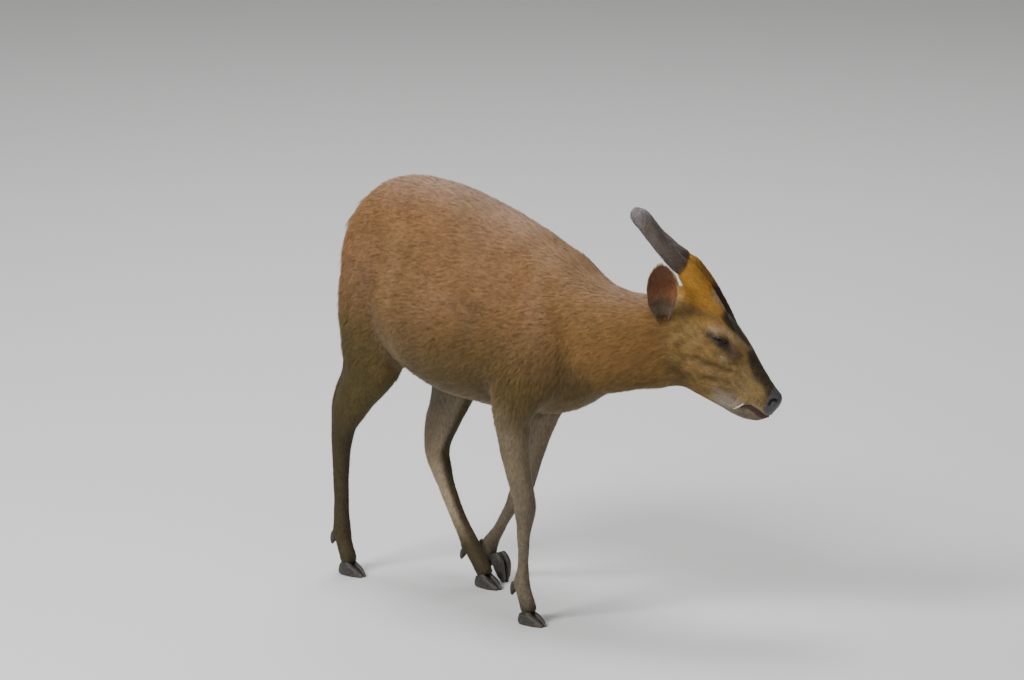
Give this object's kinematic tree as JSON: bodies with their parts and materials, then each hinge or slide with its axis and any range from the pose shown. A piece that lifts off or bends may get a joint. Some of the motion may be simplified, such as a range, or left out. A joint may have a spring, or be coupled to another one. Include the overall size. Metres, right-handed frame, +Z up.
{
  "type": "reeves's muntjac deer figure",
  "caption": "Life-size still model of a Reeves's muntjac buck walking with its head low and turned to its left, antlers in velvet.",
  "frame": {"origin": "on the floor, at the middle of the model's outline seen from above", "axes": "+X forward along the trunk, +Y towards the animal's left, +Z up"},
  "size_m": [0.631, 0.2712, 0.5286],
  "materials": {
    "coat_chestnut": "short dense fur, reddish chestnut",
    "coat_golden": "short dense fur, golden brown",
    "coat_ginger": "very short fur, orange ginger",
    "coat_dark_leg": "very short fur, dark grey-brown",
    "coat_pale_chin": "very short fur, whitish grey",
    "antler_velvet": "velvet skin over growing antler, grey-brown",
    "nose_skin": "damp bare skin, pebbled",
    "eye_dark": "wet, dark brown",
    "tusk_ivory": "smooth tooth enamel",
    "hoof_horn": "satin horn"
  },
  "bodies": {
    "root": {"antler_left": "antler_velvet", "antler_right": "antler_velvet", "ear_left": "coat_ginger", "ear_right": "coat_ginger", "eye_left": "eye_dark", "eye_right": "eye_dark", "foreleg_left_cannon": "coat_dark_leg", "foreleg_left_claw_left": "hoof_horn", "foreleg_left_claw_right": "hoof_horn", "foreleg_left_dewclaw_left": "hoof_horn", "foreleg_left_dewclaw_right": "hoof_horn", "foreleg_left_forearm": "coat_dark_leg", "foreleg_left_pastern": "coat_dark_leg", "foreleg_right_cannon": "coat_dark_leg", "foreleg_right_claw_left": "hoof_horn", "foreleg_right_claw_right": "hoof_horn", "foreleg_right_dewclaw_left": "hoof_horn", "foreleg_right_dewclaw_right": "hoof_horn", "foreleg_right_forearm": "coat_dark_leg", "foreleg_right_pastern": "coat_dark_leg", "head": "coat_ginger", "hindleg_left_cannon": "coat_dark_leg", "hindleg_left_claw_left": "hoof_horn", "hindleg_left_claw_right": "hoof_horn", "hindleg_left_dewclaw_left": "hoof_horn", "hindleg_left_dewclaw_right": "hoof_horn", "hindleg_left_gaskin": "coat_dark_leg", "hindleg_left_pastern": "coat_dark_leg", "hindleg_right_cannon": "coat_dark_leg", "hindleg_right_claw_left": "hoof_horn", "hindleg_right_claw_right": "hoof_horn", "hindleg_right_dewclaw_left": "hoof_horn", "hindleg_right_dewclaw_right": "hoof_horn", "hindleg_right_gaskin": "coat_dark_leg", "hindleg_right_pastern": "coat_dark_leg", "lower_jaw": "coat_pale_chin", "neck": "coat_golden", "nose_pad": "nose_skin", "tail": "coat_chestnut", "trunk": "coat_chestnut", "tusk_left": "tusk_ivory", "tusk_right": "tusk_ivory"}
  },
  "joints": []
}
